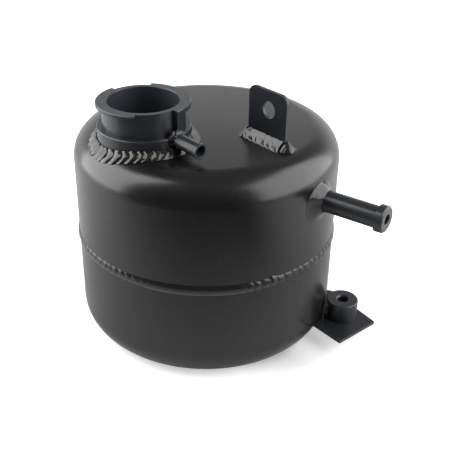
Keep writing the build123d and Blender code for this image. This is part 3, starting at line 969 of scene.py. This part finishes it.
# Painted light: in gloss the lower part of the backdrop glows, and the glow fades out upwards
PAINTED_AT_THE_BACKDROP = (0.5, 0.8, 0.0, 1.0)
PAINTED_GLOW_WITH_HEIGHT = (0.44, 0.64, 1.15, 0.32)
# Painted shade: in gloss the floor is mixed towards black towards the camera, most of all before the
# tank's right side, and towards its front edge
PAINTED_DARK_TO_THE_FRONT = (-0.28, -0.09, 0.92, 0.2)
PAINTED_DARK_TO_THE_RIGHT = (0.07, 0.14, 1.0, 1.35)
PAINTED_LIGHTER_FURTHER_RIGHT = (0.18, 0.22, 1.0, 0.15)
PAINTED_DARK_AT_THE_EDGE = (-0.40, -0.18, 0.8, 0.0)


def sweep_material():
    """Matt white paper that shows the tank's shadow, with painted shade near the tank, and in gloss a
    backdrop with a painted glow and a floor painted dark to the front.
    """
    material, tree = new_material("white_paper_with_painted_light")
    place = add_node(tree, "ShaderNodeTexCoord").outputs["Object"]
    axes = add_node(tree, "ShaderNodeSeparateXYZ", {"Vector": place})
    path = add_node(tree, "ShaderNodeLightPath")
    distance = add_node(tree, "ShaderNodeVectorMath", {0: place}, operation="LENGTH")
    # Painted shade: the camera's glow is lowered near the tank
    glow_with_painted_shade = ramp(tree, distance.outputs["Value"], *GLOW_WITH_PAINTED_SHADE_NEAR_TANK)
    # Painted shadow: the camera's glow is cut round a spot under the tank's edge
    off_spot = add_node(tree, "ShaderNodeVectorMath", {0: place, 1: PAINTED_SHADOW_SPOT}, operation="DISTANCE")
    painted_shadow_cut = ramp(tree, off_spot.outputs["Value"], *GLOW_CUT_FOR_PAINTED_SHADOW)
    direct = product(tree, product(tree, glow_with_painted_shade, painted_shadow_cut), path.outputs["Is Camera Ray"])
    # Painted light: in gloss the backdrop glows, more at its foot than higher up
    behind = ramp(tree, axes.outputs["Y"], *PAINTED_AT_THE_BACKDROP)
    height = ramp(tree, axes.outputs["Z"], *PAINTED_GLOW_WITH_HEIGHT)
    gloss = path.outputs["Is Glossy Ray"]
    painted_glow_in_gloss = product(tree, product(tree, behind, height), gloss)
    strength = add_node(tree, "ShaderNodeMath", {0: direct, 1: painted_glow_in_gloss}, operation="ADD")
    glow = add_node(tree, "ShaderNodeEmission", {
        "Color": WHITE, "Strength": strength.outputs["Value"]})
    # Painted shade: in gloss the floor is mixed towards black paper towards the front, and at the
    # backdrop where the painted glow stands instead
    across = product(tree, ramp(tree, axes.outputs["X"], *PAINTED_DARK_TO_THE_RIGHT),
                     ramp(tree, axes.outputs["X"], *PAINTED_LIGHTER_FURTHER_RIGHT))
    front = product(tree, ramp(tree, axes.outputs["Y"], *PAINTED_DARK_TO_THE_FRONT), across)
    edge = ramp(tree, axes.outputs["Y"], *PAINTED_DARK_AT_THE_EDGE)
    painted_dark_share = larger(tree, larger(tree, front, edge), behind)
    painted_dark_in_gloss = product(tree, painted_dark_share, gloss)
    paper = add_node(tree, "ShaderNodeBsdfDiffuse", {"Color": PAPER})
    dark = add_node(tree, "ShaderNodeBsdfDiffuse", {"Color": BLACK})
    shaded = add_node(tree, "ShaderNodeMixShader", {"Fac": painted_dark_in_gloss, 1: paper.outputs[0], 2: dark.outputs[0]})
    both = add_node(tree, "ShaderNodeAddShader", {0: glow.outputs[0], 1: shaded.outputs[0]})
    finish_surface(tree, both)
    return material


def product(tree, first, second):
    """Socket with the product of two others."""
    return add_node(tree, "ShaderNodeMath", {0: first, 1: second}, operation="MULTIPLY").outputs["Value"]


def larger(tree, first, second):
    """Socket with the larger of two others."""
    return add_node(tree, "ShaderNodeMath", {0: first, 1: second}, operation="MAXIMUM").outputs["Value"]


def make_lamp(name, place, direction, size, power):
    """Rectangular softbox that faces a direction."""
    light = bpy.data.lights.new(name, "AREA")
    light.shape = "RECTANGLE"
    light.size, light.size_y = size
    light.energy = power
    lamp = bpy.data.objects.new(name, light)
    lamp.location = place
    lamp.rotation_euler = direction.to_track_quat("-Z", "Y").to_euler()
    lamp.visible_camera = False
    bpy.context.scene.collection.objects.link(lamp)


def make_black_card():
    """Black card that cuts the light of the left softbox's upper rear corner."""
    facing = LEFT_FACING.normalized()
    rise = Vector((-facing.z, 0.0, facing.x))
    middle = LEFT_PLACE + facing * CARD_GAP
    bm = bmesh.new()
    corners = [bm.verts.new(middle + Vector((0, rear, 0)) + rise * up) for rear, up in CARD_OUTLINE]
    bm.faces.new(corners)
    mesh = bpy.data.meshes.new("black_card")
    bm.to_mesh(mesh)
    bm.free()
    material, tree = new_material("black_flock_paper")
    finish_surface(tree, add_node(tree, "ShaderNodeBsdfDiffuse", {"Color": FLOCK}))
    mesh.materials.append(material)
    card = bpy.data.objects.new("black_card", mesh)
    bpy.context.scene.collection.objects.link(card)


# As a direction's upward share goes from 0.3 to 0.9, the room's light goes from 0.07 to 0.28
ROOM_LIGHT = (0.3, 0.9, 0.07, 0.28)


def make_world():
    """White to the camera, and in gloss and for light a dim room with a lighter ceiling."""
    world = bpy.data.worlds.new("studio_room")
    world.use_nodes = True
    tree = world.node_tree
    tree.nodes.clear()
    path = add_node(tree, "ShaderNodeLightPath")
    way = add_node(tree, "ShaderNodeTexCoord").outputs["Generated"]
    axes = add_node(tree, "ShaderNodeSeparateXYZ", {"Vector": way})
    ceiling = ramp(tree, axes.outputs["Z"], *ROOM_LIGHT)
    strength = larger(tree, ceiling, path.outputs["Is Camera Ray"])
    room = add_node(tree, "ShaderNodeBackground", {"Color": WHITE, "Strength": strength})
    add_node(tree, "ShaderNodeOutputWorld", {"Surface": room.outputs[0]})
    bpy.context.scene.world = world
    bpy.context.scene.view_settings.view_transform = "Standard"


# The sensor's width in millimetres, and the nearest distance that the camera sees in metres
SENSOR_WIDTH = 36.0
NEAREST_SEEN = 0.01


def make_camera(stage):
    """Camera at the photograph's viewing angle."""
    data = bpy.data.cameras.new("photo_camera")
    data.lens = stage.lens
    data.sensor_width = SENSOR_WIDTH
    data.clip_start = NEAREST_SEEN
    camera = bpy.data.objects.new("photo_camera", data)
    tilt = Matrix.Rotation(math.pi / 2 - stage.camera_elevation, 4, "X")
    roll = Matrix.Rotation(stage.camera_roll, 4, "Z")
    camera.matrix_world = Matrix.Translation(stage.camera_place) @ tilt @ roll
    bpy.context.scene.collection.objects.link(camera)
    bpy.context.scene.camera = camera


# Panel and registration
PIECE_OPERATORS = (
    TANK_OT_finishes,
    TANK_OT_girth_bead,
    TANK_OT_filler_neck,
    TANK_OT_overflow_nipple,
    TANK_OT_top_bracket,
    TANK_OT_side_spigots,
    TANK_OT_foot,
    TANK_OT_stage,
)


class TANK_PT_pieces(Panel):
    """The tank's pieces, sizes and colours"""

    bl_idname = "TANK_PT_pieces"
    bl_label = "Coolant expansion tank"
    bl_space_type = "VIEW_3D"
    bl_region_type = "UI"
    bl_category = "Tank"

    def draw(self, context):
        for group in (context.scene.tank_beads, context.scene.tank_colours,
                      context.scene.tank_stage):
            box = self.layout.box()
            for name in group.__annotations__:
                box.prop(group, name)
        column = self.layout.column()
        for operator in PIECE_OPERATORS:
            column.operator(operator.bl_idname)


CLASSES = (TankBeadSizes, TankColours, TankStage) + PIECE_OPERATORS + (TANK_PT_pieces,)


def register():
    for cls in CLASSES:
        bpy.utils.register_class(cls)
    bpy.types.Scene.tank_beads = PointerProperty(type=TankBeadSizes)
    bpy.types.Scene.tank_colours = PointerProperty(type=TankColours)
    bpy.types.Scene.tank_stage = PointerProperty(type=TankStage)


def unregister():
    del bpy.types.Scene.tank_stage
    del bpy.types.Scene.tank_colours
    del bpy.types.Scene.tank_beads
    for cls in reversed(CLASSES):
        bpy.utils.unregister_class(cls)


def main():
    """Registers the tools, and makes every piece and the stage."""
    register()
    for operator in PIECE_OPERATORS:
        group, name = operator.bl_idname.split(".")
        getattr(getattr(bpy.ops, group), name)()


if __name__ == "__main__":
    main()
